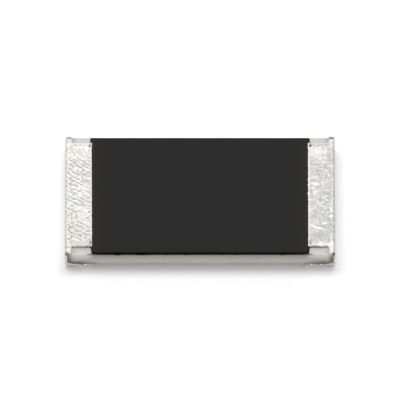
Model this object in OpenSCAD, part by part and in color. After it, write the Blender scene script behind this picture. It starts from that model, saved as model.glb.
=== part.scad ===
// Thick-film chip resistor in the 2512 case (metric 6432): a ceramic plate that carries a printed
// resistive film under glass and black epoxy, with a plated terminal wrapped around each end.
// The origin is the middle of the solder side. X runs from terminal to terminal, Y across, Z up.

/* [Case] */

// Length over both plated ends
chip_l = 6.35; // [6.1:0.05:6.6]
// Width of the ceramic plate
chip_w = 3.2; // [3:0.05:3.4]

/* [Ceramic plate] */

// Thickness of the fired plate
ceramic_t = 0.44; // [0.36:0.01:0.56]
// Bevel that the snap grooves leave along the long edges
snap_bevel = 0.03; // [0.015:0.005:0.05]

/* [Printed layers] */

// Thickness of the silver printed on the top face
front_t = 0.02; // [0.014:0.002:0.026]
// Thickness of the silver printed on the underside
back_t = 0.02; // [0.014:0.002:0.026]
// Length of each top electrode that lies under the overcoat
electrode_tuck = 0.3; // [0.27:0.01:0.4]
// Thickness of the resistive film
film_t = 0.012; // [0.008:0.002:0.016]
// Width of the resistive film
film_w = 2.5; // [2.2:0.05:2.6]
// Length of film that lies on each top electrode
film_overlap = 0.15; // [0.1:0.01:0.17]
// Thickness of the glass over the film
glass_t = 0.012; // [0.008:0.002:0.016]
// Width of glass past the film on every side
glass_margin = 0.06; // [0.03:0.01:0.08]

/* [Laser trim] */

// Width of the laser's kerf
trim_kerf = 0.06; // [0.04:0.01:0.08]
// Where along the chip the kerf enters the film
trim_x = -0.5; // [-0.9:0.05:0.3]
// How far the kerf goes across the film
trim_plunge = 0.95; // [0.6:0.05:1.4]
// How far the kerf then turns along the film
trim_run = 0.7; // [0.3:0.05:1.2]

/* [Overcoat] */

// Thickness of the epoxy where it covers glass, film and electrode
overcoat_t = 0.012; // [0.008:0.002:0.018]
// Radius of the epoxy's edges
shoulder_r = 0.05; // [0.03:0.005:0.05]

/* [Terminals] */

// Length of each top terminal that the overcoat leaves bare
terminal_l = 0.59; // [0.5:0.01:0.7]
// Width of bare ceramic beside each top terminal
pad_margin = 0.17; // [0.1:0.01:0.2]
// Length of the lip that wraps over each end, measured over the plating
lip_l = 0.155; // [0.13:0.005:0.2]
// Length of each solder face, measured over the plating
solder_l = 0.72; // [0.55:0.01:0.9]
// Thickness of the silver paste over each end
edge_t = 0.012; // [0.008:0.002:0.02]
// Radius of the paste's corners
edge_r = 0.02; // [0.012:0.002:0.026]
// Thickness of the nickel
nickel_t = 0.01; // [0.006:0.002:0.014]
// Thickness of the tin
tin_t = 0.03; // [0.024:0.002:0.036]
// Width of the rim that the tin builds up around each top terminal
rim_w = 0.06; // [0.04:0.005:0.09]
// Height of that rim
rim_h = 0.008; // [0.004:0.001:0.012]

/* [Hidden] */

$fn = 64;

// Overrun of every cut past the face it opens
cut_over = 0.05;

plating_t = nickel_t + tin_t;
chip_end = chip_l / 2;
paste_end = chip_end - plating_t;
ceramic_end = paste_end - edge_t;
half_w = chip_w / 2;

// Faces along X on the right-hand side; the left-hand side mirrors them
overcoat_end = chip_end - terminal_l;
electrode_in = overcoat_end - electrode_tuck;
film_end = electrode_in + film_overlap;
lip_in = chip_end - lip_l + plating_t;
solder_in = chip_end - solder_l + plating_t;
pad_half = half_w - pad_margin - plating_t;

// Levels along Z: the tin's underside is level with the solder plane at zero
back_z = edge_t + plating_t;
ceramic_z = back_z + back_t;
top_z = ceramic_z + ceramic_t;
front_z = top_z + front_t;
glass_z = front_z + film_t + glass_t;
overcoat_z = glass_z + overcoat_t;
bevel_low_z = ceramic_z + snap_bevel;
bevel_high_z = top_z - snap_bevel;

// A profile drawn in X and Z, run across the chip
module across(width) {
  rotate([90, 0, 0])
    linear_extrude(width, center = true)
      children();
}

// A profile drawn in Y and Z, run along the chip
module along(length) {
  rotate([90, 0, 90])
    linear_extrude(length, center = true)
      children();
}

// A box between two X faces and two Z faces, centred across the chip
module slab(x0, x1, half, z0, z1) {
  translate([x0, -half, z0])
    cube([x1 - x0, 2 * half, z1 - z0]);
}

module left_hand() {
  mirror([1, 0, 0])
    children();
}

// Ceramic plate with its snapped long edges

module ceramic_body() {
  inner = half_w - snap_bevel;
  along(2 * ceramic_end)
    polygon([
      [-inner, ceramic_z],
      [inner, ceramic_z],
      [half_w, bevel_low_z],
      [half_w, bevel_high_z],
      [inner, top_z],
      [-inner, top_z],
      [-half_w, bevel_high_z],
      [-half_w, bevel_low_z],
    ]);
}

// Printed electrodes: the top ones stop short of the long edges, and the bottom ones fill the bevels

module front_print() {
  slab(electrode_in, ceramic_end, pad_half, top_z, front_z);
}

module back_print() {
  difference() {
    slab(solder_in, ceramic_end, half_w, back_z, bevel_low_z);
    ceramic_body();
  }
}

// Resistive film, which climbs onto both top electrodes, and the laser cut that sets its value

module film_body() {
  step = electrode_in - film_t;
  across(film_w)
    translate([0, top_z])
      polygon([
        [-film_end, front_t],
        [-electrode_in, front_t],
        [-electrode_in, 0],
        [electrode_in, 0],
        [electrode_in, front_t],
        [film_end, front_t],
        [film_end, front_t + film_t],
        [step, front_t + film_t],
        [step, film_t],
        [-step, film_t],
        [-step, front_t + film_t],
        [-film_end, front_t + film_t],
      ]);
}

module trim_cut() {
  start = -film_w / 2 - glass_margin - cut_over;
  stop = -film_w / 2 + trim_plunge;
  translate([trim_x - trim_kerf / 2, 0, top_z - cut_over])
    linear_extrude(overcoat_z - top_z + cut_over) {
      translate([0, start])
        square([trim_kerf, stop - start]);
      translate([0, stop - trim_kerf])
        square([trim_kerf + trim_run, trim_kerf]);
    }
}

module film() {
  difference() {
    film_body();
    trim_cut();
  }
}

// Glass coat, which sags between the electrodes as the film does; the laser cuts through both

module glass() {
  glass_end = film_end + glass_margin;
  glass_half = film_w / 2 + glass_margin;
  sag_end = electrode_in - film_t - glass_t;
  difference() {
    slab(-glass_end, glass_end, glass_half, top_z, glass_z);
    slab(-sag_end, sag_end, glass_half + cut_over, glass_z - front_t, glass_z + cut_over);
    front_print();
    left_hand() front_print();
    film_body();
    trim_cut();
  }
}

// Epoxy overcoat: its edges are rounded, it covers the upper bevels and it fills the laser cut

module overcoat_outline(half) {
  translate([-half, bevel_high_z])
    square([2 * half, overcoat_z - shoulder_r - bevel_high_z]);
  translate([shoulder_r - half, bevel_high_z])
    square([2 * (half - shoulder_r), overcoat_z - bevel_high_z]);
  for (side = [-1, 1])
    translate([side * (half - shoulder_r), overcoat_z - shoulder_r])
      circle(shoulder_r);
}

module overcoat_block() {
  intersection() {
    across(chip_w)
      overcoat_outline(overcoat_end);
    along(2 * overcoat_end)
      overcoat_outline(half_w);
  }
}

module overcoat() {
  difference() {
    overcoat_block();
    ceramic_body();
    front_print();
    left_hand() front_print();
    film();
    glass();
  }
}

// Right-hand terminal, grown outwards by the plating on it

// The end seen from the side: a C around the ceramic, with round outer corners
module end_outline(grow, lip_z) {
  z0 = back_z - edge_t - grow;
  z1 = lip_z + edge_t + grow;
  x0 = lip_in - grow;
  x1 = paste_end + grow;
  r = edge_r + grow;
  difference() {
    union() {
      translate([x0, z0])
        square([x1 - r - x0, z1 - z0]);
      translate([x0, z0 + r])
        square([x1 - x0, z1 - z0 - 2 * r]);
      for (z = [z0 + r, z1 - r])
        translate([x1 - r, z])
          circle(r);
    }
    translate([x0 - cut_over, bevel_low_z])
      square([ceramic_end - x0 + cut_over, bevel_high_z - bevel_low_z]);
  }
}

// The lip is higher where it passes over the top electrode
module end_wrap(grow) {
  across(2 * (half_w + grow))
    end_outline(grow, top_z);
  across(2 * (pad_half + grow))
    end_outline(grow, front_z);
}

// The corners that the plating rounds, seen from above
module corner_outline(grow) {
  r = edge_t + grow;
  wide = half_w + grow;
  translate([0, -wide])
    square([paste_end + grow - r, 2 * wide]);
  translate([0, r - wide])
    square([paste_end + grow, 2 * (wide - r)]);
  for (side = [-1, 1])
    translate([paste_end + grow - r, side * (wide - r)])
      circle(r);
}

// Everything inside one layer's outer face, down to the given foot
module terminal_body(grow, foot) {
  end_wrap(grow);
  slab(overcoat_end - grow, ceramic_end, pad_half + grow, top_z, front_z + grow);
  slab(solder_in - grow, ceramic_end, half_w + grow, foot, bevel_low_z);
}

module plated_body(grow, foot) {
  intersection() {
    terminal_body(grow, foot);
    linear_extrude(front_z + edge_t + grow)
      corner_outline(grow);
  }
}

module edge_paste() {
  difference() {
    end_wrap(0);
    ceramic_body();
    front_print();
    back_print();
  }
}

module nickel() {
  difference() {
    plated_body(nickel_t, back_z - nickel_t);
    terminal_body(0, back_z);
    front_print();
    ceramic_body();
    overcoat_block();
  }
}

// The tin levels the underside into one flat solder face and leaves a raised rim on top
module tin() {
  rim_x = overcoat_end - plating_t + rim_w;
  rim_half = pad_half + plating_t - rim_w;
  pad_z = front_z + plating_t;
  difference() {
    plated_body(plating_t, 0);
    plated_body(nickel_t, back_z - nickel_t);
    slab(rim_x, chip_end - lip_l, rim_half, pad_z - rim_h, pad_z + cut_over);
    ceramic_body();
    overcoat_block();
  }
}

module ceramic_substrate() color("#d9d8d4") ceramic_body();
module top_electrode_left() color("lightgray") left_hand() front_print();
module top_electrode_right() color("lightgray") front_print();
module bottom_electrode_left() color("lightgray") left_hand() back_print();
module bottom_electrode_right() color("lightgray") back_print();
module resistive_film() color("dimgray") film();
module glass_coat() color("darkseagreen") glass();
module epoxy_overcoat() color("#2e2e2e") overcoat();
module edge_electrode_left() color("gainsboro") left_hand() edge_paste();
module edge_electrode_right() color("gainsboro") edge_paste();
module nickel_barrier_left() color("darkkhaki") left_hand() nickel();
module nickel_barrier_right() color("darkkhaki") nickel();
module tin_plating_left() color("#e9e7e2") left_hand() tin();
module tin_plating_right() color("#dcdbd8") tin();

ceramic_substrate();
top_electrode_left();
top_electrode_right();
bottom_electrode_left();
bottom_electrode_right();
resistive_film();
glass_coat();
epoxy_overcoat();
edge_electrode_left();
edge_electrode_right();
nickel_barrier_left();
nickel_barrier_right();
tin_plating_left();
tin_plating_right();
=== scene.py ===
import bpy
import numpy as np
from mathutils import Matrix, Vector


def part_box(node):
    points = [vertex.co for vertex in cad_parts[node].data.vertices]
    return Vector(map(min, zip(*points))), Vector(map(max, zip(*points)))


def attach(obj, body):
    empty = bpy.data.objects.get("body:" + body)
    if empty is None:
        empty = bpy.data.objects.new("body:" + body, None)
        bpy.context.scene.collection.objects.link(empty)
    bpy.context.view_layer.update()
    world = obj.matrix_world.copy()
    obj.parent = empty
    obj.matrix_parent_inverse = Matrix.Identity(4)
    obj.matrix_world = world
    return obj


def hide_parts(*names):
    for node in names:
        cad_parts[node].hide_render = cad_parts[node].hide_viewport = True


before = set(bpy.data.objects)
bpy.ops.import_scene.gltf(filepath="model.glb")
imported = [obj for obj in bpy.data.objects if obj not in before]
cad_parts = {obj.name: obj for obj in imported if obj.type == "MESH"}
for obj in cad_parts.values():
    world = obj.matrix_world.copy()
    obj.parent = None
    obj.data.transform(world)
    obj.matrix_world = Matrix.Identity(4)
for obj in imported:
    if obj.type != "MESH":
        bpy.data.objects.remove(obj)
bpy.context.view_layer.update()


# Ceramic plate
# A chip of fired white alumina, snapped out of a larger sheet along scored lines. Its broad faces
# are flat, the score leaves a bevel along each long edge below, and the snapped walls are faintly
# uneven. Every other layer is printed or plated on it.

MM = 1e-3                                   # sizes are in millimetres, meshes in metres


def solid_box(node):
    """Lowest and highest corner of a CAD node, in millimetres, to the nearest nanometre."""
    return [np.round(np.array(corner) / MM, 6).tolist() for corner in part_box(node)]


(_, _, PLATE_LOW), (PLATE_END, PLATE_SIDE, PLATE_TOP) = solid_box("ceramic_substrate")
SCORE = 0.03                                # bevel that the scored line leaves below
ARRIS = 0.01                                # worn edge above
BREAK = 0.004                               # unevenness of the snapped walls
FLARE = 0.023                               # the bare back corners snapped this much wide
FLARE_FROM, FLARE_TO = 2.57, 3.06           # where they do, on each half
FLARE_EASE = 0.04                           # length over which that starts and stops

ALUMINA_DULL, ALUMINA_PALE = (0.70, 0.69, 0.66, 1), (0.77, 0.76, 0.73, 1)
STRIP_SHADE_BACK = (0.56, 0.555, 0.535, 1)        # painted shade on the top strips behind the pads
STRIP_SHADOW = (0.30, 0.27, 0.235, 1)        # painted shadow on the top strips before the pads, close to the pads
EAR_SHADE = (0.30, 0.27, 0.22, 1)           # painted shade beside the terminals' ears
WALL_SHADE = (0.44, 0.415, 0.35, 1)          # painted shade on the front wall, close under the overcoat
WALL_LIGHT = (0.94, 0.915, 0.835, 1)        # painted light on the front wall, close under the bare strips
STAIN_SHADE_LEFT, STAIN_SHADE_RIGHT = (0.17, 0.10, 0.03, 1), (0.15, 0.112, 0.065, 1)   # brown stains of the plating, with painted shade
SMEAR = (0.10, 0.075, 0.05, 1)              # thin overcoat below its ragged edge and past its ends
ALUMINA_TOOTH = 0.004                       # height of the fired grain
GLOW, GLOW_DEPTH = 0.6, 0.09                # share of the light that sinks in, and how deep
GLOW_TINT = (1.0, 0.95, 0.85)               # that depth by colour

NOISE_CELLS = 256                           # the noise repeats after as many cells
CREASE = np.radians(50)                     # sharper bends than this are shaded as edges


def ease(value, low, high):
    """Smooth step: 0 at low, 1 at high and level at both, where low may be the larger."""
    t = np.clip((value - low) / (high - low), 0, 1)
    return t * t * (3 - 2 * t)


def unevenness(a, b, seed):
    """Gradient noise, about -0.7 to 0.7: each corner of a unit grid holds a random direction, and
    a point takes the eased blend of its four corners' slopes. The seed picks the directions. Where
    b is one number, the noise runs along that line of the grid."""
    turn = np.random.default_rng(seed).uniform(0, 2 * np.pi, (NOISE_CELLS, NOISE_CELLS))
    cell_a, cell_b = np.floor(a).astype(int), np.floor(b).astype(int)
    part_a, part_b = a - cell_a, b - cell_b

    def slope(step_a, step_b):
        """Rise from one corner of the cell to the point, along that corner's direction."""
        angle = turn[(cell_a + step_a) % NOISE_CELLS, (cell_b + step_b) % NOISE_CELLS]
        return np.cos(angle) * (part_a - step_a) + np.sin(angle) * (part_b - step_b)

    share_a, share_b = (t * t * t * (t * (t * 6 - 15) + 10) for t in (part_a, part_b))
    near = slope(0, 0) + share_a * (slope(1, 0) - slope(0, 0))
    far = slope(0, 1) + share_a * (slope(1, 1) - slope(0, 1))
    return near + share_b * (far - near)


def outline(corners, steps):
    """Points once round a closed outline: straight runs from corner to corner, each in its steps."""
    corners = np.asarray(corners, float)
    runs = zip(corners, np.roll(corners, -1, axis=0), steps)
    return np.concatenate([a + (b - a) * np.arange(n)[:, None] / n for a, b, n in runs])


def skin(name, rings):
    """Mesh of a closed outline carried along a path: rings[i, j] is point j at station i. Quads
    join neighbouring points, and one face closes each end."""
    stations, points = rings.shape[:2]
    number = np.arange(stations * points).reshape(stations, points)
    here, there = number[:-1], number[1:]
    quads = np.stack([here, np.roll(here, -1, 1), np.roll(there, -1, 1), there], -1)
    ends = [number[0, ::-1].tolist(), number[-1].tolist()]
    mesh = bpy.data.meshes.new(name)
    mesh.from_pydata((rings.reshape(-1, 3) * MM).tolist(), [], quads.reshape(-1, 4).tolist() + ends)
    mesh.polygons.foreach_set("use_smooth", np.ones(len(mesh.polygons), bool))
    mesh.set_sharp_from_angle(angle=CREASE)
    return mesh


def piece(mesh, material, node):
    """The mesh as a piece of the part, in place of the CAD node that it dresses."""
    mesh.materials.append(material)
    made = bpy.data.objects.new(mesh.name, mesh)
    bpy.context.scene.collection.objects.link(made)
    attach(made, "root")
    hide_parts(node)


class Ink:
    """A value on its way through a material. Arithmetic on it adds Math nodes, and add() any
    other node."""

    def __init__(self, tree, socket=None):
        self.tree, self.socket = tree, socket

    def add(self, kind, settings=None, sockets=None, out=0):
        """A node of that kind: its settings, then the values or links of its sockets."""
        node = self.tree.nodes.new(kind)
        for key, value in (settings or {}).items():
            setattr(node, key, value)
        for key, value in (sockets or {}).items():
            self.join(value, node.inputs[key])
        return Ink(self.tree, node.outputs[out])

    def join(self, value, socket):
        """Links a value to a socket, or sets the socket to a plain number or colour."""
        if isinstance(value, Ink):
            self.tree.links.new(value.socket, socket)
        else:
            socket.default_value = value

    def math(self, operation, a, b):
        """A Math node on two values."""
        return self.add("ShaderNodeMath", {"operation": operation}, {0: a, 1: b})

    def __add__(self, other):
        return self.math("ADD", self, other)

    def __sub__(self, other):
        return self.math("SUBTRACT", self, other)

    def __rsub__(self, other):
        return self.math("SUBTRACT", other, self)

    def __mul__(self, other):
        return self.math("MULTIPLY", self, other)

    def __abs__(self):
        return self.math("ABSOLUTE", self, 0)

    __radd__, __rmul__ = __add__, __mul__

    def larger(self, other):
        """The larger of two values."""
        return self.math("MAXIMUM", self, other)

    def rise(self, low, high):
        """Smooth step of the value: 0 at low, 1 at high."""
        return self.add("ShaderNodeMapRange", {"interpolation_type": "SMOOTHSTEP"},
                        {"Value": self, "From Min": low, "From Max": high})

    def grain(self, scale, detail=2.0):
        """Noise on the place, 0 to 1, with scale grains to a millimetre."""
        return self.add("ShaderNodeTexNoise", None,
                        {"Vector": self, "Scale": scale, "Detail": detail})

    def blend(self, a, b):
        """Colour a where the value is 0, colour b where it is 1. The Mix node's colours are its
        sockets 6 and 7, and come out at 2."""
        return self.add("ShaderNodeMix", {"data_type": "RGBA"},
                        {"Factor": self, 6: a, 7: b}, out=2)

    def bump(self, height):
        """Surface normal raised by the value times a height in millimetres."""
        return self.add("ShaderNodeBump", None, {"Height": self, "Distance": height * MM})


def finish(name, metallic, roughness):
    """A new material: it, its shader, the place on the piece in millimetres, and its x, y, z."""
    material = bpy.data.materials.new(name)
    material.use_nodes = True
    shader = material.node_tree.nodes["Principled BSDF"]
    shader.inputs["Metallic"].default_value = metallic
    shader.inputs["Roughness"].default_value = roughness
    place = Ink(material.node_tree).add("ShaderNodeTexCoord", out="Object")
    place = place.add("ShaderNodeVectorMath", {"operation": "SCALE"}, {0: place, "Scale": 1 / MM})
    parts = place.add("ShaderNodeSeparateXYZ", None, {0: place})
    x, y, z = (Ink(material.node_tree, s) for s in parts.socket.node.outputs)
    return material, shader, place, x, y, z


edge_low, edge_top = PLATE_SIDE - SCORE, PLATE_SIDE - ARRIS
plate_outline = outline(
    [(-edge_low, PLATE_LOW), (edge_low, PLATE_LOW),
     (PLATE_SIDE, PLATE_LOW + SCORE), (PLATE_SIDE, PLATE_TOP - ARRIS),
     (edge_top, PLATE_TOP), (-edge_top, PLATE_TOP),
     (-PLATE_SIDE, PLATE_TOP - ARRIS), (-PLATE_SIDE, PLATE_LOW + SCORE)],
    steps=[12, 3, 18, 2, 12, 2, 18, 3])
plate_x = np.linspace(-PLATE_END, PLATE_END, 320)[:, None]
plate_y, plate_z = plate_outline[:, 0], plate_outline[:, 1]
on_break = np.abs(plate_y) > PLATE_SIDE - ARRIS / 2
wander = (unevenness(plate_x / 0.11, plate_z / 0.07 + np.sign(plate_y) * 9, 3)
          + 0.6 * unevenness(plate_x / 0.45, plate_z / 0.3 + np.sign(plate_y) * 5, 4))
flare = ((plate_y > PLATE_SIDE - 1.5 * ARRIS)
         * ease(np.abs(plate_x), FLARE_FROM, FLARE_FROM + FLARE_EASE)
         * ease(np.abs(plate_x), FLARE_TO, FLARE_TO - FLARE_EASE))
plate_rings = np.stack(np.broadcast_arrays(
    plate_x, plate_y + np.sign(plate_y) * on_break * BREAK * wander + FLARE * flare, plate_z), -1)

alumina, shader, place, x, y, z = finish("white_alumina", metallic=0.0, roughness=0.55)
cloud = place.grain(3.0, 3.0)
tooth = place.grain(38.0, 3.0)
speckle = place.grain(14.0)
right_half = x.rise(-1.0, 1.0)
plate_colour = (cloud * 0.6 + tooth * 0.4).rise(0.35, 0.65).blend(ALUMINA_DULL, ALUMINA_PALE)

# top face: painted shade, greyer to the back, with a painted shadow along the front of the pads and
# painted shade beside the ears
on_top = z.rise(PLATE_TOP - 2 * ARRIS, PLATE_TOP - ARRIS)
# painted shade: the top face greyer towards the back
plate_colour = (on_top * 0.52 * y.rise(-1.0, 1.0)).blend(plate_colour, STRIP_SHADE_BACK)
# painted shadow on the strips in front of the pads' walls
shadow_before_pad = on_top * y.rise(-1.54, -1.41) * y.rise(0.0, -0.1)
plate_colour = (shadow_before_pad * 0.45).blend(plate_colour, STRIP_SHADOW)
# painted shade on the plate's top edge beside the ears
shade_beside_ear = z.rise(0.42, 0.49) * abs(x).rise(2.88, 2.99) * abs(y).rise(1.44, 1.50)
plate_colour = (shade_beside_ear * 0.32).blend(plate_colour, EAR_SHADE)

# long walls: painted shade at the top in front under the overcoat and painted light under the bare
# strips, then brown plating stain with painted shade towards the ends and along the foot
walls = abs(y).rise(PLATE_SIDE - 0.03, PLATE_SIDE - 0.01)
front = walls * y.rise(0.5, -0.5)
under_coat = front * abs(x).rise(2.75, 2.5)
# painted shade: the front wall darker close under the overcoat
plate_colour = (under_coat * z.rise(0.20, 0.47) * 0.95).blend(plate_colour, WALL_SHADE)
# painted light: the front wall glows cream under the bare strips
under_strip = front * abs(x).rise(2.45, 2.65)
plate_colour = (under_strip * z.rise(0.28, 0.46)).blend(plate_colour, WALL_LIGHT)
# brown plating stain with painted shade, towards the ends and along the foot
at_end = abs(x) - 0.04 * right_half - 0.30 * z + 0.10 * cloud + 0.08 * speckle
at_foot = (0.16 * speckle - z).rise(-0.22, -0.03) * abs(x).rise(2.30, 2.95)
salts = at_end.rise(2.89, 3.12).larger(at_foot) * walls
plate_colour = (salts * 0.85).blend(plate_colour, right_half.blend(STAIN_SHADE_LEFT, STAIN_SHADE_RIGHT))
smear = front * z.rise(0.455, 0.475) * abs(x).rise(2.74, 2.56)
place.join((smear * 0.7).blend(plate_colour, SMEAR), shader.inputs["Base Color"])
place.join(tooth.bump(ALUMINA_TOOTH), shader.inputs["Normal"])
shader.inputs["Subsurface Weight"].default_value = GLOW
shader.inputs["Subsurface Radius"].default_value = GLOW_TINT
shader.inputs["Subsurface Scale"].default_value = GLOW_DEPTH * MM

piece(skin("ceramic_plate", plate_rings), alumina, "ceramic_substrate")


# Printed layers under the coats
# Thick-film pastes screen printed on the plate and fired: silver electrodes on both faces, the
# dark resistive film with its trim cut, a glass skin over it, silver paste round the ends, and
# the nickel plated on that. They stay as the solids have them, with a fired or plated grain.

FIRED_GRAIN = 0.002                         # height of the grain

# each finish: its nodes, dull and bright colour, metallic, roughness, grains to a millimetre
LAYERS = {
    "silver_print": (["top_electrode_left", "top_electrode_right",
                      "bottom_electrode_left", "bottom_electrode_right"],
                     (0.62, 0.60, 0.57, 1), (0.78, 0.77, 0.74, 1), 1.0, 0.45, 30.0),
    "silver_paste": (["edge_electrode_left", "edge_electrode_right"],
                     (0.55, 0.53, 0.50, 1), (0.70, 0.68, 0.64, 1), 1.0, 0.6, 22.0),
    "resistive_ink": (["resistive_film"],
                      (0.018, 0.016, 0.015, 1), (0.035, 0.030, 0.027, 1), 0.0, 0.5, 26.0),
    "coat_glass": (["glass_coat"],
                   (0.05, 0.06, 0.045, 1), (0.08, 0.09, 0.07, 1), 0.0, 0.15, 12.0),
    "nickel": (["nickel_barrier_left", "nickel_barrier_right"],
               (0.52, 0.49, 0.44, 1), (0.62, 0.59, 0.54, 1), 1.0, 0.35, 40.0),
}
for slot, (nodes, dull, bright, metallic, roughness, scale) in LAYERS.items():
    layer, shader, place, *_ = finish(slot, metallic, roughness)
    grain = place.grain(scale, 3.0)
    place.join(grain.rise(0.35, 0.65).blend(dull, bright), shader.inputs["Base Color"])
    place.join(grain.bump(FIRED_GRAIN), shader.inputs["Normal"])
    for node in nodes:
        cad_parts[node].data.materials.clear()
        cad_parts[node].data.materials.append(layer)


# Black overcoat
# Filled epoxy, screen printed over the film and glass and cured: a matt black skin with rounded
# shoulders that runs a little way down both long edges, where its lower edge is ragged.

_, (COAT_END, _, COAT_TOP) = solid_box("epoxy_overcoat")
COAT_SIDE = PLATE_SIDE + 0.003              # it stands a little out of the plate's walls
COAT_FOOT = PLATE_TOP - 0.018               # level of its lower edge on them
FOOT_LIFT, FOOT_TILT = 0.02, 0.004          # that edge lifts at its ends, and towards the right
RAGGED = 0.016                              # wander of that edge
RUNS = ((-1.94, 0.08), (-1.40, 0.09))       # where the coat ran down: place, half width
RUN_DROP = 0.021                            # how far it ran
SHOULDER = 0.05                             # radius of its top edges
SKIN_WAVE = 0.0012                          # unevenness of its top
END_WANDER = 0.006                          # wander of its two ends
FRONT_SHORT_LEFT, FRONT_SHORT_RIGHT = 0.026, 0.012   # the ends draw in towards the front
CORNER_SHORT = 0.035                        # and once more at the front corners

EPOXY_DARK, EPOXY_PALE = (0.0212, 0.0212, 0.0212, 1), (0.0228, 0.0228, 0.0228, 1)
EPOXY_THIN = (0.0255, 0.0240, 0.0220, 1)    # towards its ends
EPOXY_RIM = (0.036, 0.0270, 0.0215, 1)      # along the pads
EPOXY_FRONT = (0.0225, 0.0207, 0.0172, 1)   # by the front edge
EPOXY_SHOULDER_SHADE = (0.0055, 0.0048, 0.0026, 1)    # painted shade on the shoulders and below them
EPOXY_POOL = (0.0008, 0.0008, 0.0004, 1)    # where it ran down
FILLER_GRAIN, FILLER_GLOSS = 0.002, 0.06    # height of the filler's grain, and what it reflects


def shoulder(inset):
    """Height lost within a shoulder's radius of an edge: a quarter circle, level further in."""
    reach = np.clip(1 - inset / SHOULDER, 0, 1)
    return SHOULDER * (1 - np.sqrt(1 - reach * reach))


edge_steps = SHOULDER * (1 - np.cos(np.linspace(0, np.pi / 2, 9)))
coat_x = np.concatenate([-COAT_END + edge_steps[:-1],
                         np.linspace(-COAT_END + SHOULDER, COAT_END - SHOULDER, 190),
                         COAT_END - edge_steps[-2::-1]])[:, None]
top_y = np.concatenate([COAT_SIDE - edge_steps[:-1],
                        np.linspace(COAT_SIDE - SHOULDER, -COAT_SIDE + SHOULDER, 110),
                        -COAT_SIDE + edge_steps[-2::-1]])
top_z = COAT_TOP - np.maximum(shoulder(COAT_END - np.abs(coat_x)),
                              shoulder(COAT_SIDE - np.abs(top_y)))
waves = unevenness(coat_x / 0.21, top_y / 0.21, 11) * (top_z > COAT_TOP - 1e-6)
top_z = top_z + SKIN_WAVE * waves
under_y = np.array([-COAT_SIDE, -COAT_SIDE, -edge_low, edge_low, COAT_SIDE, COAT_SIDE])
foot = (COAT_FOOT + FOOT_LIFT * ease(np.abs(coat_x), 2.3, 2.55) + FOOT_TILT * coat_x / COAT_END
        - RUN_DROP * sum(np.exp(-((coat_x - at) / wide) ** 4) for at, wide in RUNS)
        + RAGGED * (unevenness(coat_x / 0.09, 0.0, 12)
                    - ease(unevenness(coat_x / 0.23, 7.0, 13), 0.1, 0.3)))
half_way = (foot + COAT_TOP - SHOULDER) / 2
under_z = np.concatenate(np.broadcast_arrays(
    half_way, foot, PLATE_TOP, PLATE_TOP, foot, half_way), axis=1)
coat_y = np.concatenate([under_y, top_y])
coat_z = np.concatenate([under_z, top_z], axis=1)
near_end = ease(np.abs(coat_x), COAT_END - 0.12, COAT_END)
end_wander = END_WANDER * (unevenness(coat_y / 0.07, 3.0, 14) + unevenness(coat_y / 0.2, 5.0, 15))
front_short = np.where(coat_x < 0, FRONT_SHORT_LEFT, FRONT_SHORT_RIGHT)
drawn_in = (front_short * ease(coat_y, -1.34, -1.48)
            + CORNER_SHORT * ease(coat_y, -1.54, -COAT_SIDE))
coat_rings = np.stack(np.broadcast_arrays(
    coat_x + np.sign(coat_x) * near_end * (end_wander - drawn_in), coat_y, coat_z), -1)

black_epoxy, shader, place, x, y, z = finish("black_epoxy", metallic=0.0, roughness=0.75)
filler = place.grain(55.0, 2.0)
flow = place.grain(1.3, 2.0)
black = (filler * 0.4 + flow * 0.6).rise(0.35, 0.65).blend(EPOXY_DARK, EPOXY_PALE)
thin = abs(x).rise(COAT_END - 0.5, COAT_END - 0.13)
rim = abs(x).rise(COAT_END - 0.14, COAT_END - 0.07)
black = rim.blend(thin.blend(black, EPOXY_THIN), EPOXY_RIM)
black = y.rise(-1.50, -1.57).blend(black, EPOXY_FRONT)
# painted shade on the shoulders and the coat below them
edge = z.rise(COAT_TOP - 0.0015, COAT_TOP - 0.012) * (1 - 0.6 * thin)
black = edge.blend(black, EPOXY_SHOULDER_SHADE)
ran = sum(abs(x - at).rise(1.5 * wide, 0.8 * wide) for at, wide in RUNS)
pooled = ran * edge * y.rise(0.0, -1.0)
place.join(pooled.blend(black, EPOXY_POOL), shader.inputs["Base Color"])
place.join(filler.bump(FILLER_GRAIN), shader.inputs["Normal"])
shader.inputs["Specular IOR Level"].default_value = FILLER_GLOSS

piece(skin("black_overcoat", coat_rings), black_epoxy, "epoxy_overcoat")


# Tin terminals
# Matt tin, electroplated over the nickel so that it wraps each end: a levelled solder face below,
# the end face, a lip on the top edge with an ear at each corner, and the inset pad with its
# raised rim that laps on to the overcoat. The plating follows the rough paste beneath it.

(SOLDER_INNER, _, _), (TIN_END, TIN_SIDE, TIN_TOP) = solid_box("tin_plating_right")
SOLDER_ROUND = 0.018                        # rounding of the solder face's inner edge
TIN_SKIN = 0.03                             # thickness of the tin alone
BEND, BEND_LOW = 0.06, 0.10                 # outer radius of the end's bends, above and below
EAR_INNER, EAR_DROP = 3.02, 0.02            # ears end here, and lie lower than the lip
PAD_INNER = COAT_END - 0.04                 # the pad laps on to the overcoat
PAD_SIDE = PLATE_SIDE - 0.17                # a strip of the plate stays bare beside it
PAD_TOP = TIN_TOP - 0.012                   # it lies lower than the lip
PAD_OFFSET = 0.02                           # its print lies a little to the back
PAD_MIDDLE = (PAD_INNER + TIN_END) / 2
RIM, RIM_RISE = 0.06, 0.008                 # raised rim round the pad
RIM_ROUND = (0.027, 0.006)                  # rounding of the rim's inner edge
SIDE_ROUND, PAD_ROUND = 0.022, 0.01         # rounding of the side edges, and more of it at the pad
DRAFT = 0.014                               # the sides lean in by this at the top
CORNER = 0.04                               # more rounding at the low outer corners
WEB = 0.055                                 # rise of the side walls' foot towards the end
BEAD = 0.028                                # the solder face's sides draw in by this between beads
TUCK = 0.006                                # the pad's sides reach this far into the overcoat
LUMP = 0.006                                # lumps on the ears and the end
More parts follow.
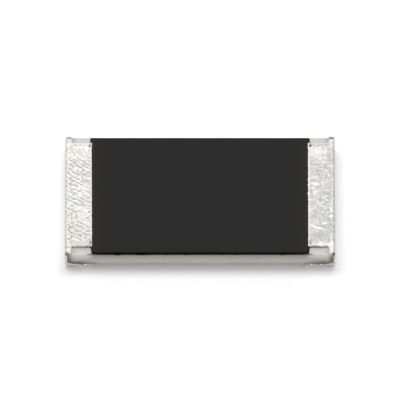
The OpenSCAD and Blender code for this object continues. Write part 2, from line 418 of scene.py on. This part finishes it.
PAD_WANDER, CREEP = 0.011, 0.014            # wander of the pad's sides, and of its inner edge
PIT, PIT_DARK = 0.016, 2.2                  # depth of a pit, and how dark its painted shade is
GROOVE = 0.004                              # depth of the fold's groove along the lip

TIN_HIGHLIGHT = (0.82, 0.81, 0.79, 1)           # painted highlights on flakes, ridges, beads and walls
# deepest painted shade, in the pits
TIN_PIT_SHADE = (0.15, 0.13, 0.12, 1)
TIN_FOOT_REFLECTION = (0.56, 0.565, 0.59, 1)           # painted cool reflection of the shaded floor, towards it
TIN_STAIN_AND_SHADE = (0.13, 0.09, 0.065, 1)          # brown stain against the plate, with painted shade between the beads and on the pad's walls
TIN_TIP = (0.20, 0.19, 0.18, 1)             # tips of the back ears
TIN_GRAIN = 0.0015                          # height of the plating's grain


def arc(centre, radius, start, stop, count):
    """Points on an arc in the XZ plane, from angle start to stop, with the last left out."""
    angle = np.radians(np.linspace(start, stop, count, endpoint=False))[:, None]
    return np.array(centre) + np.array(radius) * np.hstack([np.cos(angle), np.sin(angle)])


def run(start, stop, count):
    """Points on a straight run, with the last left out."""
    return np.linspace(start, stop, count, endpoint=False)


def terminal_path(lip_foot, lip_head):
    """The wrap's outer line in the XZ plane: down the solder face's inner edge, under, round the
    end, over the lip, down an eased slope to the pad and over the rim's rounded edge."""
    bend_x, rim_x = TIN_END - BEND, PAD_INNER + RIM_ROUND[0]
    ear_out, ear_in = EAR_INNER + 0.02, EAR_INNER - 0.02
    top_x = np.concatenate([run(bend_x, ear_out, 12), run(ear_out, ear_in, 12), run(ear_in, rim_x, 58)])
    top_z = PAD_TOP + (TIN_TOP - PAD_TOP) * ease(top_x, lip_foot, lip_head)
    return np.concatenate([
        run((SOLDER_INNER, PLATE_LOW), (SOLDER_INNER, SOLDER_ROUND), 4),
        arc((SOLDER_INNER + SOLDER_ROUND, SOLDER_ROUND), SOLDER_ROUND, 180, 270, 6),
        run((SOLDER_INNER + SOLDER_ROUND, 0), (TIN_END - BEND_LOW, 0), 48),
        arc((TIN_END - BEND_LOW, BEND_LOW), BEND_LOW, -90, 0, 12),
        run((TIN_END, BEND_LOW), (TIN_END, TIN_TOP - BEND), 22),
        arc((bend_x, TIN_TOP - BEND), BEND, 0, 90, 12),
        np.stack([top_x, top_z], -1),
        arc((rim_x, PAD_TOP - RIM_ROUND[1]), RIM_ROUND, 90, 187, 8)])


def bell(value, at, wide):
    """A bell curve: 1 at its middle, and about a third a width to either side."""
    return np.exp(-((value - at) / wide) ** 2)


def dimple(x, y, at, size):
    """A round or long dent: a bell along x times a bell along y."""
    return bell(x, at[0], size[0]) * bell(y, at[1], size[1])


def dents(x, y, spots):
    """Sum of dimples, given by their place, size and strength."""
    return sum(much * dimple(x, y, at, size) for at, size, much in spots)


def pad_zone(x, start, stop):
    """1 on the pad and 0.3 on its rim and the end: it fades in past the rim, and out from stop to
    start, which are counted back from the end."""
    zone = ease(x, PAD_INNER + 0.04, PAD_INNER + 0.075) * ease(x, TIN_END - start, TIN_END - stop)
    return 0.3 + 0.7 * zone


def lip_groove(x, fine, inset):
    """The fold along the lip, that far in from the end: a narrow bell, broken up by fine noise."""
    return bell(x, TIN_END - inset, 0.008) * ease(fine, -0.35, 0.15)


def back_seam(x, y, at, wide):
    """Dark seam along the pad's back edge: a bell across it, ended short of the lip."""
    return bell(y, at, wide) * ease(x, 3.10, 3.0)


# left pad: place and size of its pits, with their strength; place, half width and depth of its seam
LEFT_PITS = [((2.598, 1.365), (0.02, 0.035), 1.0), ((2.574, -1.30), (0.026, 0.075), 0.65),
             ((2.61, -0.46), (0.012, 0.014), 1.0), ((3.06, -0.90), (0.014, 0.016), 1.0)]
LEFT_SEAM = (1.365, 0.026, 0.004)
RIPPLE, WAVE, CROSS_WAVE = 0.0072, 0.118, 0.125   # height of the ripples, and length of both sets


def left_relief(x, y):
    """Left plating: height, painted shade in the hollows, and painted highlights. Waves run down a
    slope that eases along the pad. Noise bends and breaks them, a faint second set crosses them, and in
    one band noise mostly takes over. A haze dulls the front of the pad, and painted light makes its
    back a little bright."""
    slope = 0.55 + 0.45 * ease(y, 0.2, 1.3)
    waves = ((y - (x - PAD_MIDDLE) * slope) / WAVE + 0.75 * unevenness(x / 0.2, y / 0.16, 21)
             + 0.5 * unevenness(x / 0.09, y / 0.07, 24))
    crossing = (y + (x - PAD_MIDDLE) * 0.8) / CROSS_WAVE + 0.7 * unevenness(x / 0.14, y / 0.14, 25)
    whole = ease(unevenness(x / 0.12, y / 0.08, 22), -0.45, 0.25)
    fine = unevenness(x / 0.035, y / 0.035, 23)
    ripple = (1.1 * whole * np.sin(2 * np.pi * waves)
              + 0.45 * (1 - 0.5 * whole) * np.sin(2 * np.pi * crossing) + 0.3 * fine)
    broken = bell(y, -0.60, 0.22)
    ripple = ripple * (1 - 0.6 * broken) + 2.0 * broken * unevenness(x / 0.07, y / 0.06, 28)

    calm = np.maximum(dimple(x, y, (2.70, -0.45), (0.11, 0.15)),
                      dimple(x, y, (2.80, 0.20), (0.22, 0.05)))
    field = (pad_zone(x, 0.045, 0.08) * ease(y, 1.345, 1.29) * ease(y, -1.38, -1.20)
             * (1 - 0.3 * ease(y, 0.75, 1.15)) * (1 - 0.5 * calm))
    groove = lip_groove(x, fine, 0.038)
    drift = 0.04 * unevenness(x / 0.11, 8.3, 27) + 0.02 * fine
    seam_at, seam_wide, seam_deep = LEFT_SEAM
    seam = back_seam(x, y + drift, seam_at, seam_wide)
    seam = seam * (0.55 + 0.7 * ease(unevenness(x / 0.07, 3.3, 26), -0.1, 0.3))
    pits = dents(x, y, LEFT_PITS)
    front_rim = ease(y, -1.24, -1.32) * ease(y, -1.40, -1.36) * ease(x, 3.1, 3.0)
    haze = bell(y, -1.0, 0.22)

    height = field * RIPPLE * ripple - GROOVE * groove - PIT * pits - seam_deep * seam
    trough = (0.9 - 0.12 * haze) * ease(-ripple, -0.6, 1.05) + 0.1 * haze
    hollow_shade = field * trough + 0.5 * groove + PIT_DARK * pits + 1.05 * seam + 0.3 * front_rim
    # painted light: the pad's back a little bright
    bright = 0.09 * ease(y, 0.85, 1.15) * ease(y, 1.42, 1.36)
    return height, hollow_shade, bright


# right pad: place and size of its pits and flakes, with their strength; its seam as above
RIGHT_PITS = [((2.594, 1.375), (0.02, 0.03), 1.0), ((2.598, -1.315), (0.026, 0.06), 0.65)]
RIGHT_SEAM = (1.375, 0.022, 0.005)
FLAKES = [((2.72, 0.317), (0.09, 0.024), 0.65), ((2.73, 0.096), (0.10, 0.012), 0.35),
          ((2.78, -0.90), (0.10, 0.032), 0.55), ((2.735, -0.985), (0.08, 0.016), 0.4),
          ((2.92, -0.775), (0.08, 0.015), 0.5), ((2.78, -0.14), (0.03, 0.014), 0.6)]
COBBLE, FLAKE, FLAKE_TURN = 0.009, 0.004, 0.25   # height of both, and slope of the flakes


def right_relief(x, y):
    """Right plating: height, painted shade in the hollows, and painted highlights. Three sizes of noise
    make soft cobbles, with smooth patches at both ends of the pad and a few flakes laid flat and a
    little askew over them; the cobbles' tops and the flakes get painted highlights."""
    fine = unevenness(x / 0.03, y / 0.03, 34)
    cobble = (0.65 * unevenness(x / 0.12, y / 0.09, 31) + unevenness(x / 0.065, y / 0.055, 33)
              + 0.4 * fine)
    pad = pad_zone(x, 0.03, 0.055)
    field = pad * ease(y, 1.37, 1.33) * ease(y, -1.36, -1.28)
    front_patch = dimple(x, y, (2.80, -1.10), (0.20, 0.13))
    back_patch = dimple(x, y, (2.76, 1.22), (0.18, 0.18))
    calm = np.maximum(front_patch, back_patch)

    def laid_flat(at, size):
        """One flake: a dimple turned a little, with a torn edge."""
        turned = y + FLAKE_TURN * (x - at[0]) + 0.008 * fine
        return ease(dimple(x + 0.02 * fine, turned, at, size), 0.1, 1.0)

    flake_and_highlight = field * sum(much * laid_flat(at, size) for at, size, much in FLAKES)
    stone = (1 - 0.7 * calm) * (1 - 0.8 * flake_and_highlight) * field
    groove = lip_groove(x, fine, 0.026)
    drift = 0.05 * unevenness(x / 0.10, 4.7, 35) + 0.02 * fine
    seam_at, seam_wide, seam_deep = RIGHT_SEAM
    seam = back_seam(x, y + drift, seam_at, seam_wide)
    seam = seam * (0.25 + 0.95 * ease(unevenness(x / 0.06, 5.1, 36), -0.25, 0.15))
    pits = dents(x, y, RIGHT_PITS)
    front_rim = ease(y + 0.02 * fine, -1.25, -1.33) * pad
    ridge = bell(x, 3.10, 0.010) * ease(fine, -0.5, 0.1)

    height = (stone * COBBLE * cobble + FLAKE * flake_and_highlight - GROOVE * groove - PIT * pits
              - seam_deep * seam)
    hollow_shade = (stone * 0.62 * ease(-cobble, -0.55, 0.6) + 0.45 * front_patch + 0.35 * groove
              + PIT_DARK * pits + 0.95 * seam)
    # painted highlights on the flakes and on the cobbles' tops
    bright = (0.8 * flake_and_highlight + 0.3 * stone * ease(cobble, 0.3, 0.8) + 0.08 * front_rim
              + 0.06 * back_patch + 0.04 * ridge)
    return height, hollow_shade, bright


def ring_shares():
    """For each point of the outer run, from side to side: its share of the flat, -1 to 1, its share
    of the rounded edge, -1 to 1, and how far it has sunk by the rounding and down the wall, 0 to 1."""
    turn, drop = np.radians(np.linspace(18, 90, 5)), np.array([0.3, 0.65, 1.0])
    flat = np.linspace(-1, 1, 400)
    one = np.ones(len(turn) + len(drop))
    lean = np.concatenate([np.sin(turn), 0 * drop + 1])
    sink = np.concatenate([1 - np.cos(turn), 0 * drop + 1])
    low = np.concatenate([0 * turn, drop])
    on_flat = np.concatenate([-one, flat, one])
    on_round = np.concatenate([-lean[::-1], 0 * flat, lean])
    depth_round = np.concatenate([sink[::-1], 0 * flat, sink])
    depth_wall = np.concatenate([low[::-1], 0 * flat, low])
    return on_flat, on_round, depth_round, depth_wall


def feet(path_x, path_z, normal_x, normal_z, top, half):
    """Feet of the side walls, and the inner line, one tin's thickness in from the path. The walls
    stand on the plate's walls below and at the end, and on its top or the overcoat at the pad."""
    bevel = SCORE * np.clip((half - PLATE_SIDE + SCORE) / SCORE, 0, 1)
    coat = np.where(path_x < COAT_END, COAT_TOP - shoulder(COAT_END - path_x) - TUCK, 0)
    web = WEB * ease(path_x, 2.95, PLATE_END)
    foot_x = np.minimum(path_x, PLATE_END)
    foot_z = np.where(top, np.maximum(PLATE_TOP - bevel, coat),
                      np.clip(path_z, PLATE_LOW + SCORE + web, PLATE_TOP - SCORE))
    inner_x = path_x - TIN_SKIN * normal_x
    inner_x = np.where(top, inner_x, np.maximum(inner_x, SOLDER_INNER + TIN_SKIN))
    inner_z = np.maximum(path_z - TIN_SKIN * normal_z, np.where(top, coat, TIN_SKIN))
    return foot_x, foot_z, inner_x, inner_z


def terminal(name, side, relief, lip, nubs, askew, beads, band, grime_and_shade, sheen, spread):
    """Mesh of one terminal: a ring across the chip, carried along the wrap's path. The ring has a
    long outer run with rounded sides, a wall at each side down to the plate, and the thin inner
    face against the nickel. Relief moves the outer run along the path's normal.

    side            -1 for the left end, 1 for the right end
    relief          function that gives the plating's height, painted shade in its hollows, and painted highlights
    lip             foot and head of the slope from the pad up to the lip
    nubs, askew     place and length of the nubs on the pad's inner edge, and that edge's slope
    beads, band     place, half width and strength of each bead, and where they run together
    grime_and_shade where the pad's side walls begin to turn brown with painted shade, and where they
    are brown
    sheen, spread   painted sheen on the end's side walls, and how their brown edge widens with height
    """
    lip_foot, lip_head = lip
    path = terminal_path(lip_foot, lip_head)
    path_x, path_z = path[:, :1], path[:, 1:]
    tangent = np.gradient(path, axis=0)
    tangent /= np.linalg.norm(tangent, axis=1, keepdims=True)
    normal_x, normal_z = tangent[:, 1:], -tangent[:, :1]
    top = path_z > PLATE_TOP
    on_pad = top * ease(path_x, EAR_INNER + 0.012, EAR_INNER - 0.016)
    end_half = TIN_SIDE - DRAFT * ease(path_z, 0.1, 0.5)
    half = end_half + (PAD_SIDE - end_half) * on_pad
    foot_x, foot_z, inner_x, inner_z = feet(path_x, path_z, normal_x, normal_z, top, half)
    wall = np.hypot(foot_x - path_x, foot_z - path_z)
    wall_x, wall_z = (foot_x - path_x) / (wall + 1e-9), (foot_z - path_z) / (wall + 1e-9)

    # outer run: flat in the middle, then the rounded edge, then the wall below that
    on_flat, on_round, depth_round, depth_wall = ring_shares()
    rounding = np.where(path_z < 0.05, SIDE_ROUND / 2, SIDE_ROUND) + PAD_ROUND * on_pad
    rounding = rounding + CORNER * ease(path_x, 3.0, TIN_END) * ease(path_z, 0.25, 0.08)
    rounding = np.minimum(rounding, 0.6 * wall)
    out_y = on_flat * (half - rounding) + on_round * rounding
    sway = (unevenness(path_x / 0.06, np.sign(out_y) * 3.5, 45 + side)
            + unevenness(path_x / 0.025, np.sign(out_y) * 2.5, 47 + side))
    out_y = out_y * (1 + on_pad * PAD_WANDER * sway) + on_pad * PAD_OFFSET
    sunk = depth_round * rounding + depth_wall * (wall - rounding)
    out_x, out_z = path_x + wall_x * sunk, path_z + wall_z * sunk

    # height of the plating over the path, kept off the rounded sides, the pad's inner edge and the
    # solder face
    reach = np.abs(out_y - on_pad * PAD_OFFSET)
    rim_x, rim_y = PAD_INNER + RIM, PAD_SIDE - RIM
    inset = ease(path_x, rim_x - 0.02, rim_x + 0.012) * ease(path_x, lip_head, lip_foot)
    inset = top * inset * ease(reach, rim_y + 0.02, rim_y - 0.012)
    around = path_x + np.where(top, 0, TIN_TOP - path_z)
    height, hollow_shade, flake_and_highlight = relief(around, out_y)
    lump = (unevenness(around / 0.07, out_y / 0.07, 42 + side)
            + 0.5 * unevenness(around / 0.03, out_y / 0.03, 44 + side))
    outside = (~top | (reach > PAD_SIDE)) * (1 - on_pad)
    rough = outside * LUMP * (lump - 0.5) * ease(path_z, 0.0, 0.06)
    open_run = (1 - depth_round) * ease(path_x, PAD_INNER, PAD_INNER + 0.03) * ease(path_z, 0.0, 0.05)
    middle = top * ease(reach, PAD_SIDE - 0.022, PAD_SIDE - 0.045)
    ear = EAR_DROP * ease(reach, PAD_SIDE - 0.12, PAD_SIDE + 0.10) * (1 - on_pad)
    ear = ear * ease(path_z, TIN_TOP - BEND, TIN_TOP) * (1 - depth_wall)
    rise = (middle * height - inset * RIM_RISE + rough) * open_run
    out_x = np.minimum(out_x + normal_x * rise, TIN_END)
    out_z = np.minimum(out_z + normal_z * rise - ear, TIN_TOP)

    # ears taper towards their tips, and the pad's inner edge wanders over the overcoat
    taper = np.where(out_y < 0, 0.55, 0.1) + 0.5 * unevenness(out_y / 0.06, 2.0, 51 + side)
    taper = taper * ease(reach, PAD_SIDE - 0.01, TIN_SIDE)
    out_x = out_x + top * np.maximum(TIN_END - BEND - path_x, 0) * taper * (path_x > EAR_INNER - 0.03)
    creep = unevenness(out_y / 0.05, 0.0, 53 + side) + 0.8 * unevenness(out_y / 0.16, 0.0, 55 + side)
    creep = CREEP * creep + askew * out_y - sum(size * bell(out_y, at, 0.025) for at, size in nubs)
    out_x = out_x + top * creep * ease(path_x, PAD_INNER + 0.07, PAD_INNER + 0.01)

    # beads of tin along the sides of the solder face, run together into a band near the end
    below = ~top * ease(path_z, 0.10, 0.05) * depth_round
    bead = sum(much * bell(path_x, at, wide) for at, wide, much in beads)
    joined = ease(path_x, band - 0.02, band + 0.02)
    crown = np.minimum(bead + 0.5 * joined, 1) * (1 - ease(depth_wall, 0.6, 1.0))
    out_y = out_y - np.sign(out_y) * below * BEAD * (1 - crown) * ease(depth_wall, 0.0, 0.35)

    # ring: the outer run, then the inner face from foot to foot
    in_y = half - TIN_SKIN
    ring_x = np.concatenate([out_x, foot_x, inner_x, inner_x, foot_x], axis=1)
    ring_y = np.concatenate([out_y, in_y, in_y, -in_y, -in_y], axis=1)
    ring_z = np.concatenate([out_z, foot_z, inner_z, inner_z, foot_z], axis=1)
    rings = np.stack([side * ring_x, ring_y, ring_z], -1)

    # marks that the material reads: painted shade in the hollows, brown stain with painted shade, and
    # painted highlights on flakes, beads and walls
    bare = outside * (1 - depth_round)
    bend = top * ease(path_x, TIN_END - 0.075, TIN_END - 0.03) * (1 - depth_round)
    end_wall = ~top * ease(path_z, 0.08, 0.14) * depth_round
    pad_wall = on_pad * ease(depth_wall, 0.0, 0.3)
    # the pad's walls turn brown towards the overcoat, with painted shade
    grimy_and_shaded = ease(path_x, *grime_and_shade)
    # painted shade in the gaps between the beads
    gap = ease(depth_wall, 0.45, 0.9) * np.clip(1 - 1.3 * bead - joined, 0, 1)
    # painted shine on the beads and the low wall, which face the shaded floor
    bead_shine = 0.5 * (1 - depth_wall) + bead * ease(depth_wall, 0.2, 0.6) + 0.2 * joined
    marks = {
        "hollow_shade": (hollow_shade * top * open_run + 0.5 * bare * ease(-lump, -0.35, 0.75)
                   + 0.5 * bend * ease(-lump, 0.0, 0.6)),
        "stain": (pad_wall * grimy_and_shaded + 0.55 * below * gap
                  + 0.72 * end_wall * ease(depth_wall + spread * path_z, 1.0, 1.15)),
        "flake_and_highlight": (flake_and_highlight * top * open_run + 0.35 * bend * ease(lump, 0.0, 0.6)
                  + 0.6 * pad_wall * (1 - grimy_and_shaded) + sheen * end_wall + below * bead_shine)}
    order = slice(None) if side > 0 else slice(None, None, -1)
    mesh = skin(name, rings[:, order])
    for mark, value in marks.items():
        value = np.concatenate([value, 0 * ring_x[:, :4]], axis=1)[:, order]
        mesh.attributes.new(mark, "FLOAT", "POINT").data.foreach_set("value", value.ravel())
    return mesh


def tin_finish(name, bright, dull, dark, cream, rim_tone):
    """Matt tin: bright on the ridges with painted highlights, dull in clouds, dark with painted shade
    in the hollows, cream with tarnish along the pad's margin, and stained brown where the plating ends
    against the plate, with painted shade between the beads and on the pad's walls."""
    material, shader, place, x, y, z = finish(name, metallic=1.0, roughness=0.6)
    hollow_shade, stain, flake_and_highlight = (place.add("ShaderNodeAttribute", {"attribute_name": mark}, out="Fac")
                            for mark in ("hollow_shade", "stain", "flake_and_highlight"))
    cloud = place.grain(2.2, 3.0)
    fine = place.grain(45.0, 2.0)
    right_half = x.rise(-1.0, 1.0)
    colour = cloud.rise(0.4, 0.62).blend(bright, dull)

    # margin of the pad: the lip, the rim, and both ends
    lip, back, front = abs(x).rise(2.98, 3.06), y.rise(1.0, 1.25), y.rise(-1.24, -1.32)
    ears = abs(y).rise(1.36, 1.54) * z.rise(0.46, 0.50)
    margin = (0.5 * lip + back + front) * (1 - 0.6 * ears)
    tarnish = place.grain(6.0, 3.0).rise(0.43, 0.57) * margin
    colour = (tarnish * 0.7 + front * 0.4 * (1 - right_half)).blend(colour, cream)
    rim = abs(x).rise(PAD_INNER + RIM, PAD_INNER + RIM - 0.02)
    colour = (rim * 0.7).blend(colour, rim_tone)

    # painted shade in the hollows, painted highlights, the foot's painted reflection and the stain with
    # painted shade, then the ears' tips
    # painted shade in the hollows, deepest in the pits
    colour = (hollow_shade * 0.85).blend(colour, dark)
    colour = hollow_shade.rise(1.0, 2.0).blend(colour, TIN_PIT_SHADE)
    # painted highlights
    colour = flake_and_highlight.blend(colour, TIN_HIGHLIGHT)
    # painted reflection: the foot tinted cool like the shaded floor that it faces
    colour = (z.rise(0.08, 0.05) * 0.6).blend(colour, TIN_FOOT_REFLECTION)
    # brown stain with painted shade
    colour = (stain * 0.9).blend(colour, TIN_STAIN_AND_SHADE)
    outer = abs(x) - 0.03 * right_half
    speck = place.grain(13.0).rise(0.34, 0.48)
    tip = z.rise(0.48, 0.52) * (0.55 + 0.25 * right_half + 0.2 * speck)
    back_tip = y.rise(1.53, 1.57) * outer.rise(2.99, 3.03) * abs(x).rise(3.15, 3.12)
    front_tip = y.rise(-1.56, -1.60) * outer.rise(3.05, 3.09)
    colour = (back_tip * tip).blend(colour, TIN_TIP)
    colour = (front_tip * tip).blend(colour, TIN_STAIN_AND_SHADE)
    place.join(colour, shader.inputs["Base Color"])
    place.join(0.58 + 0.16 * fine + 0.10 * hollow_shade - 0.20 * flake_and_highlight, shader.inputs["Roughness"])
    place.join(fine.bump(TIN_GRAIN), shader.inputs["Normal"])
    return material


left_tin = terminal(
    "tin_terminal_left", side=-1, relief=left_relief, lip=(2.94, 3.12), nubs=(), askew=0.006,
    beads=((2.50, 0.018, 0.45), (2.597, 0.02, 0.6), (2.694, 0.028, 1.0)), band=2.84,
    grime_and_shade=(2.75, 2.62), sheen=0.6, spread=0.0)
left_finish = tin_finish(
    "tin_left", bright=(0.635, 0.625, 0.595, 1), dull=(0.60, 0.595, 0.57, 1),
    dark=(0.36, 0.36, 0.355, 1), cream=(0.54, 0.515, 0.445, 1), rim_tone=(0.51, 0.475, 0.43, 1))
piece(left_tin, left_finish, "tin_plating_left")

right_tin = terminal(
    "tin_terminal_right", side=1, relief=right_relief, lip=(2.96, 3.12),
    nubs=((0.05, 0.022), (0.28, 0.012)), askew=0.0,
    beads=((2.505, 0.016, 0.4), (2.625, 0.024, 1.0), (2.733, 0.02, 0.7), (2.85, 0.026, 0.9)),
    band=2.95, grime_and_shade=(2.95, 2.75), sheen=0.1, spread=1.6)
right_finish = tin_finish(
    "tin_right", bright=(0.545, 0.54, 0.525, 1), dull=(0.485, 0.485, 0.48, 1),
    dark=(0.32, 0.32, 0.32, 1), cream=(0.585, 0.567, 0.51, 1), rim_tone=(0.56, 0.55, 0.525, 1))
piece(right_tin, right_finish, "tin_plating_right")


# Studio: floor, light and camera
# A plain white floor under the solder faces, one softbox high behind the part, a faintly cool sky
# for fill that is brighter behind, and a long lens that looks down on the part from the front.

FLOOR_HALF, FLOOR_DROP = 0.12, 1e-6         # metres: half its side, and its gap to the solder faces
PAPER_DULL, PAPER_PALE = (0.96, 0.96, 0.96, 1), (0.98, 0.98, 0.98, 1)
PAPER_GLOW = (0.10, 0.10, 0.10, 1)          # lifts the paper to white where it is seen
BLACK, WHITE = (0, 0, 0, 1), (1, 1, 1, 1)
SOFTBOX_SIZE, SOFTBOX_POWER = (0.115, 0.052), 0.098   # metres, watts
SOFTBOX_RISE, SOFTBOX_FAR = np.radians(69.5), 0.12    # angle over the floor, distance in metres
SOFTBOX_SHIFT = -0.05                       # to the left, as a share of that distance
FILL, FILL_LEAN = 0.42, 0.16                # strength of the sky, and how it grows to the back
FILL_TINT = (0.99, 0.996, 1.01, 1)
LENS, SENSOR, CLIP = 1529.6, 36, (0.01, 1.0)   # millimetres, and metres for the clip
VIEW_RISE, VIEW_FAR = np.radians(58.4), 0.4    # angle over the floor, distance in metres
AIM = (0.0, -0.0742, 0.466)                 # the place in the middle of the picture


def seen_directly(ink):
    """1 for rays that show the surroundings: the camera's, and those that a gloss or glass sends."""
    rays = ink.add("ShaderNodeLightPath").socket.node.outputs
    camera, glossy, through = (Ink(ink.tree, rays[n]) for n in
                               ("Is Camera Ray", "Is Glossy Ray", "Is Transmission Ray"))
    return camera.larger(glossy).larger(through)


corners = [(-1, -1), (1, -1), (1, 1), (-1, 1)]
floor_mesh = bpy.data.meshes.new("floor")
floor_mesh.from_pydata([(FLOOR_HALF * a, FLOOR_HALF * b, -FLOOR_DROP) for a, b in corners],
                       [], [(0, 1, 2, 3)])
paper, shader, place, *_ = finish("white_paper", metallic=0.0, roughness=0.9)
place.join(place.grain(0.4).rise(0.3, 0.7).blend(PAPER_DULL, PAPER_PALE), shader.inputs["Base Color"])
place.join(seen_directly(place).blend(BLACK, PAPER_GLOW), shader.inputs["Emission Color"])
shader.inputs["Emission Strength"].default_value = 1.0
shader.inputs["Specular IOR Level"].default_value = 0.0
floor_mesh.materials.append(paper)
floor = bpy.data.objects.new("floor", floor_mesh)
bpy.context.scene.collection.objects.link(floor)

softbox = bpy.data.lights.new("softbox", "AREA")
softbox.shape = "RECTANGLE"
softbox.size, softbox.size_y = SOFTBOX_SIZE
softbox.energy = SOFTBOX_POWER
lamp = bpy.data.objects.new("softbox", softbox)
bpy.context.scene.collection.objects.link(lamp)
lamp.location = Vector((SOFTBOX_SHIFT, np.cos(SOFTBOX_RISE), np.sin(SOFTBOX_RISE))) * SOFTBOX_FAR
lamp.rotation_euler = (-lamp.location).to_track_quat("-Z", "Y").to_euler()

world = bpy.data.worlds.new("sky")
world.use_nodes = True
bpy.context.scene.world = world
sky, backdrop = Ink(world.node_tree), world.node_tree.nodes["Background"].inputs
shown = seen_directly(sky)                  # plain white there, and the fill elsewhere
toward = sky.add("ShaderNodeTexCoord", out="Generated")
fill = sky.add("ShaderNodeSeparateXYZ", None, {0: toward}, out="Y") * FILL_LEAN + FILL
sky.join(shown * (1 - fill) + fill, backdrop["Strength"])
sky.join(shown.blend(FILL_TINT, WHITE), backdrop["Color"])

lens = bpy.data.cameras.new("camera")
lens.lens, lens.sensor_width = LENS, SENSOR
lens.clip_start, lens.clip_end = CLIP
camera = bpy.data.objects.new("camera", lens)
bpy.context.scene.collection.objects.link(camera)
aim = Vector(AIM) * MM
back = Vector((0, -np.cos(VIEW_RISE), np.sin(VIEW_RISE)))
camera.location = aim + back * VIEW_FAR
camera.rotation_euler = (-back).to_track_quat("-Z", "Y").to_euler()
bpy.context.scene.camera = camera
bpy.context.scene.view_settings.view_transform = "Standard"
